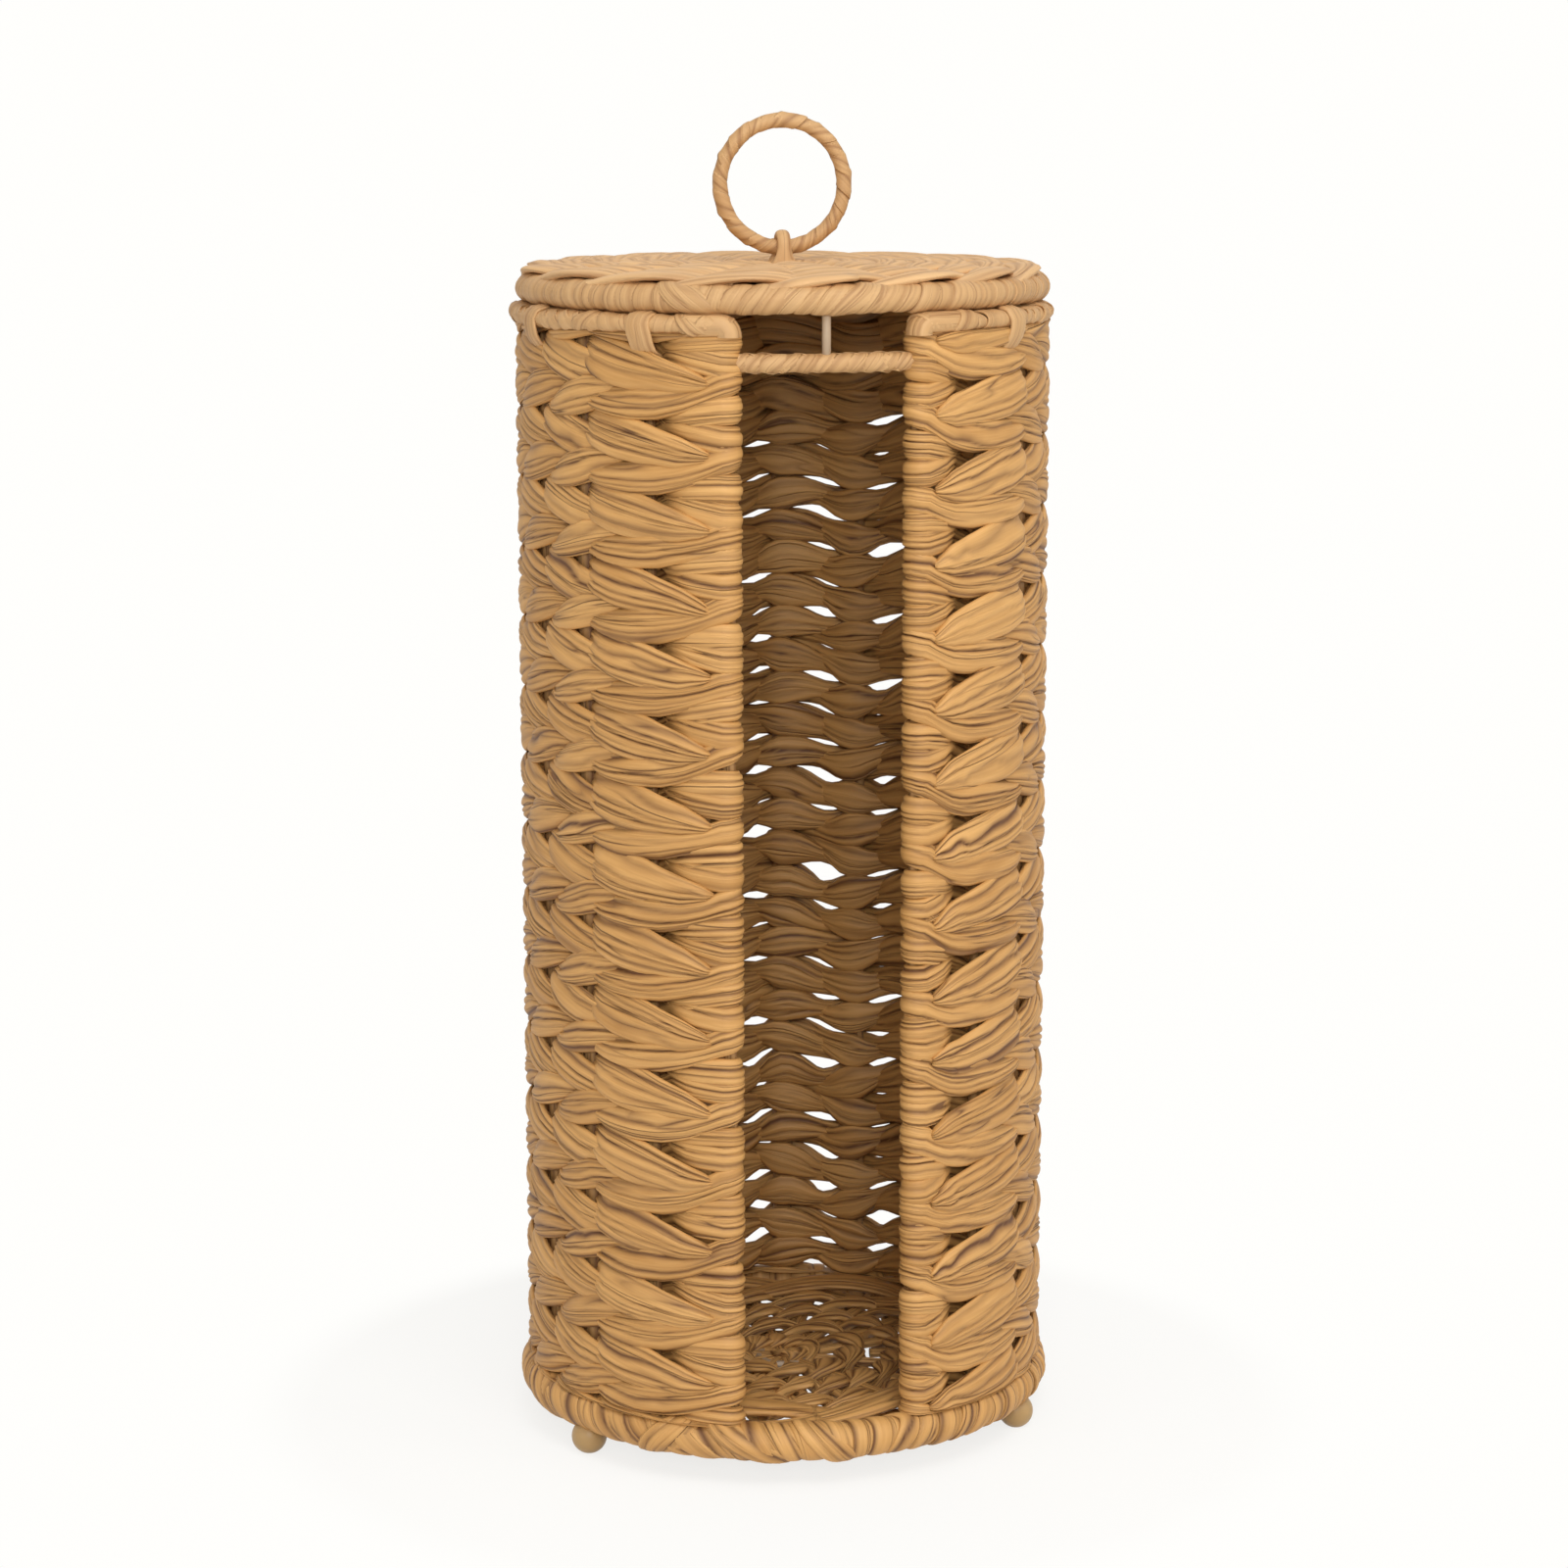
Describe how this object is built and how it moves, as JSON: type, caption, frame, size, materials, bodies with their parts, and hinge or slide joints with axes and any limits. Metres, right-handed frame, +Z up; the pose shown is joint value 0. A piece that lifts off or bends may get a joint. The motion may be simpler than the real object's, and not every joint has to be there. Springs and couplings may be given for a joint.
{
  "type": "toilet paper basket",
  "caption": "Tall round woven basket for spare toilet rolls, with a slot down its front, a lift-off woven lid and a swinging ring handle, on small ball feet.",
  "frame": {"origin": "on the basket's axis, on the surface that its feet stand on", "axes": "+Z up along the basket's axis, -Y towards the front slot, +X to the right as seen from the front"},
  "size_m": [0.1662, 0.1662, 0.4039],
  "materials": {
    "woven_strand": "matte",
    "wrapped_strand": "matte",
    "frame_wire": "satin",
    "foot_paint": "satin"
  },
  "bodies": {
    "basket": {"base_ring_wire": "frame_wire", "base_rim_wrap": "wrapped_strand", "top_ring_wire": "frame_wire", "top_rim_wrap": "wrapped_strand", "wall_weave": "woven_strand", "slot_post_left": "frame_wire", "slot_post_right": "frame_wire", "stake_01": "frame_wire", "stake_02": "frame_wire", "stake_03": "frame_wire", "stake_04": "frame_wire", "stake_05": "frame_wire", "stake_06": "frame_wire", "stake_07": "frame_wire", "stake_08": "frame_wire", "stake_09": "frame_wire", "stake_10": "frame_wire", "stake_11": "frame_wire", "stake_12": "frame_wire", "stake_13": "frame_wire", "stake_14": "frame_wire", "stake_15": "frame_wire", "stake_16": "frame_wire", "crossbar_wire": "frame_wire", "crossbar_wrap": "wrapped_strand", "lid_support_post": "frame_wire", "floor_weave": "woven_strand", "floor_hub_ring": "frame_wire", "floor_spoke_01": "frame_wire", "floor_spoke_02": "frame_wire", "floor_spoke_03": "frame_wire", "floor_spoke_04": "frame_wire", "floor_spoke_05": "frame_wire", "floor_spoke_06": "frame_wire", "floor_spoke_07": "frame_wire", "floor_spoke_08": "frame_wire", "floor_spoke_09": "frame_wire", "floor_spoke_10": "frame_wire", "foot_right": "foot_paint", "foot_back": "foot_paint", "foot_left": "foot_paint"},
    "lid": {"lid_ring_wire": "frame_wire", "lid_rim_wrap": "wrapped_strand", "lid_weave": "woven_strand", "lid_hub_ring": "frame_wire", "lid_spoke_01": "frame_wire", "lid_spoke_02": "frame_wire", "lid_spoke_03": "frame_wire", "lid_spoke_04": "frame_wire", "lid_spoke_05": "frame_wire", "lid_spoke_06": "frame_wire", "lid_spoke_07": "frame_wire", "lid_spoke_08": "frame_wire", "handle_staple": "wrapped_strand"},
    "handle_ring": {"handle_ring_wire": "frame_wire", "handle_ring_wrap": "wrapped_strand"}
  },
  "joints": [
    {"name": "lid_lift", "type": "slide", "parent": "basket", "child": "lid", "axis": [0, 0, 1], "range_m": [0, 0.15]},
    {"name": "handle_swing", "type": "hinge", "parent": "lid", "child": "handle_ring", "pos_m": [0, 0, 0.3636], "axis": [1, 0, 0], "range_deg": [-90, 90]}
  ]
}
